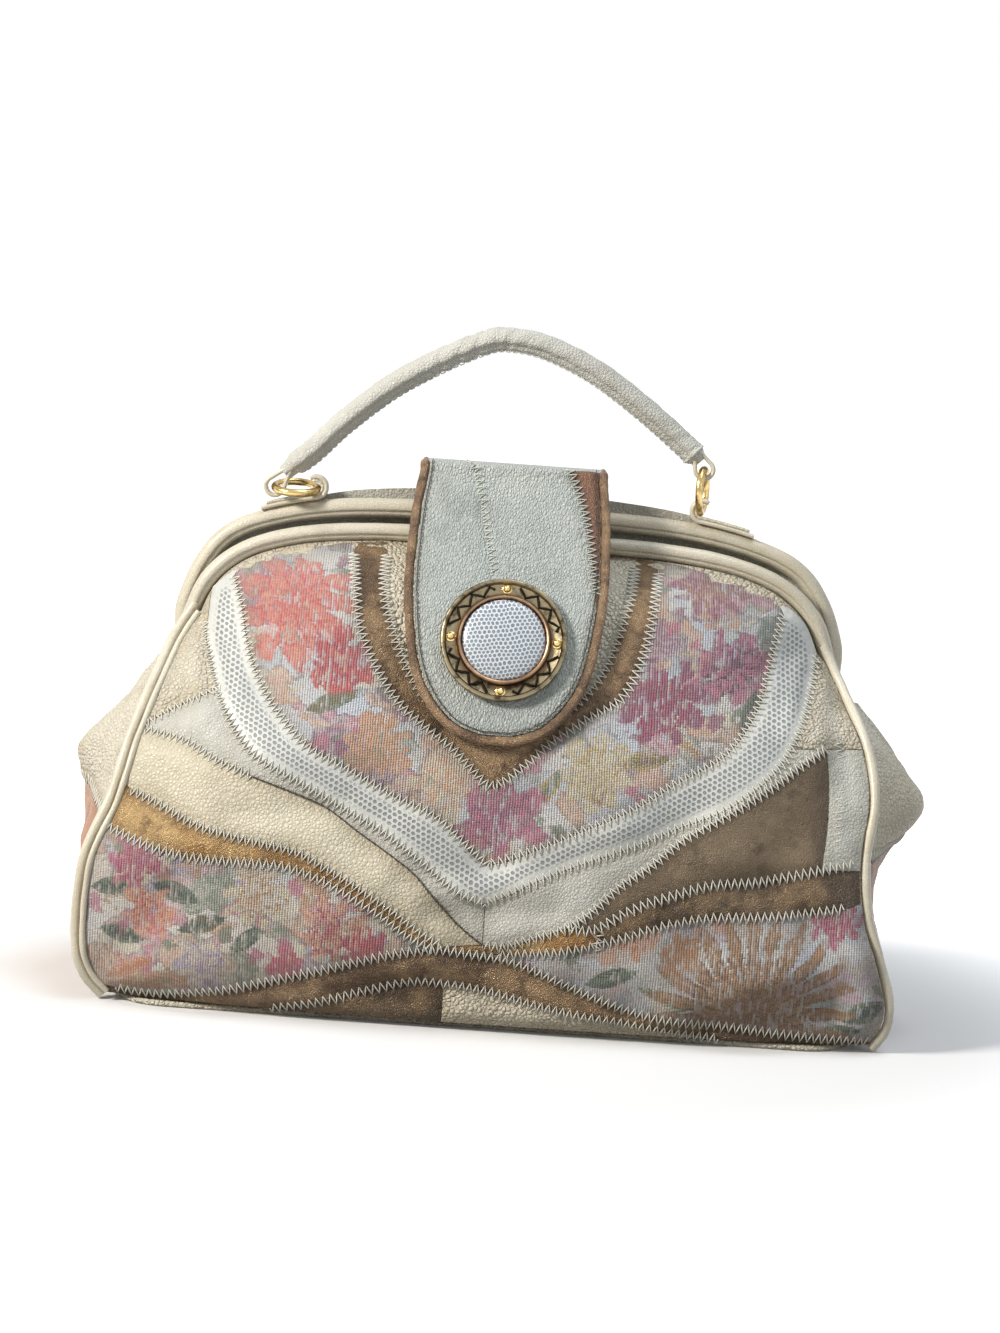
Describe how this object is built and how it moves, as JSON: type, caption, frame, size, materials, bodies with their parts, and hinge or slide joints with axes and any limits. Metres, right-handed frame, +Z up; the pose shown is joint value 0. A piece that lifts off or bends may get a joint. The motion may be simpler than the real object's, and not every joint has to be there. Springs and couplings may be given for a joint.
{
  "type": "patchwork purse",
  "caption": "Hinged-frame leather and tapestry purse with a ringed top handle and a fold-over flap that a round ornament decorates.",
  "frame": {"origin": "middle of the purse's box, on the plane that the base stands on", "axes": "+Z up, the front with the flap faces -Y, +X is to the right as seen from the front"},
  "size_m": [0.361, 0.1593, 0.2949],
  "materials": {
    "cream_leather": "pebbled",
    "mint_leather": "pebbled",
    "white_leather": "pebbled",
    "tan_leather": "pebbled",
    "bronze_leather": "metallic",
    "tapestry": "woven",
    "mesh_trim": "perforated",
    "lining_cloth": "woven",
    "gold_metal": "polished",
    "bronze_metal": "antiqued",
    "steel": "plated",
    "lizard_insert": "embossed",
    "board": "plain"
  },
  "bodies": {
    "bag_body": {"front_panel_lower": "cream_leather", "rear_panel_lower": "white_leather", "front_tapestry_yoke": "tapestry", "front_bronze_collar": "bronze_leather", "front_mesh_band": "mesh_trim", "front_cream_left": "cream_leather", "front_white_left": "white_leather", "front_beige_left": "cream_leather", "front_bronze_left": "bronze_leather", "front_tapestry_left": "tapestry", "front_white_right": "white_leather", "front_bronze_wedge": "bronze_leather", "front_gathered_strip": "bronze_leather", "front_white_strip": "white_leather", "front_cream_right": "cream_leather", "front_tapestry_right": "tapestry", "front_bronze_band": "bronze_leather", "front_hem_brown": "tan_leather", "front_hem_cream": "cream_leather", "gusset_left": "cream_leather", "gusset_right": "tan_leather", "base_panel": "cream_leather", "base_board": "board", "lining": "lining_cloth", "piping_front_left": "cream_leather", "piping_front_right": "cream_leather", "piping_rear_left": "cream_leather", "piping_rear_right": "cream_leather", "rivet_left": "gold_metal", "rivet_right": "gold_metal"},
    "front_frame": {"front_frame_bar": "steel", "front_frame_cover": "cream_leather", "front_panel_upper": "cream_leather", "magnet_panel": "steel"},
    "rear_frame": {"rear_frame_bar": "steel", "rear_frame_cover": "cream_leather", "rear_panel_upper": "white_leather", "ring_tab_left": "white_leather", "ring_tab_right": "white_leather", "tab_stud_left": "gold_metal", "tab_stud_right": "gold_metal", "flap_strap": "mint_leather"},
    "flap": {"flap_leather": "mint_leather", "flap_lining": "lining_cloth", "flap_piping": "bronze_leather", "ornament_bezel": "bronze_metal", "ornament_collar": "gold_metal", "ornament_insert": "lizard_insert", "ornament_bead_right": "gold_metal", "ornament_bead_top": "gold_metal", "ornament_bead_left": "gold_metal", "ornament_bead_bottom": "gold_metal", "magnet_flap": "steel"},
    "left_ring": {"ring_left": "gold_metal"},
    "left_loop": {"handle_loop_left": "white_leather"},
    "handle": {"handle_cover": "white_leather", "handle_core": "board", "handle_loop_right": "white_leather"},
    "right_ring": {"ring_right": "gold_metal"}
  },
  "joints": [
    {"name": "front_frame_open", "type": "hinge", "parent": "bag_body", "child": "front_frame", "pos_m": [0, 0, 0.152], "axis": [1, 0, 0], "range_deg": [0, 30], "deforming": ["front_tapestry_yoke", "front_bronze_collar", "front_mesh_band", "front_cream_left", "front_cream_right"]},
    {"name": "rear_frame_open", "type": "hinge", "parent": "bag_body", "child": "rear_frame", "pos_m": [0, 0, 0.152], "axis": [1, 0, 0], "range_deg": [-30, 0]},
    {"name": "flap_open", "type": "hinge", "parent": "rear_frame", "child": "flap", "pos_m": [-0.0025, -0.016, 0.233], "axis": [-1, 0, 0], "range_deg": [0, 135]},
    {"name": "left_ring_lift", "type": "hinge", "parent": "rear_frame", "child": "left_ring", "pos_m": [-0.0877, 0.005, 0.219], "axis": [0, 1, 0], "range_deg": [0, 45]},
    {"name": "right_ring_lift", "type": "hinge", "parent": "rear_frame", "child": "right_ring", "pos_m": [0.08, 0.005, 0.2205], "axis": [0, 1, 0], "range_deg": [0, 19.89]},
    {"name": "left_loop_turn", "type": "hinge", "parent": "left_ring", "child": "left_loop", "pos_m": [-0.1063, 0.005, 0.219], "axis": [0, 1, 0], "range_deg": [-40.63, 0]},
    {"name": "handle_swing", "type": "hinge", "parent": "left_loop", "child": "handle", "pos_m": [-0.1063, 0.005, 0.219], "axis": [-0.9983, 0, -0.0579], "range_deg": [-12, 32]}
  ],
  "couplings": [
    {"joint": "rear_frame_open", "follows": "front_frame_open", "ratio": -1},
    {"joint": "flap_open", "follows": "front_frame_open", "ratio": 4.5},
    {"joint": "right_ring_lift", "follows": "left_ring_lift", "ratio": 0.442},
    {"joint": "left_loop_turn", "follows": "left_ring_lift", "ratio": -0.903}
  ]
}
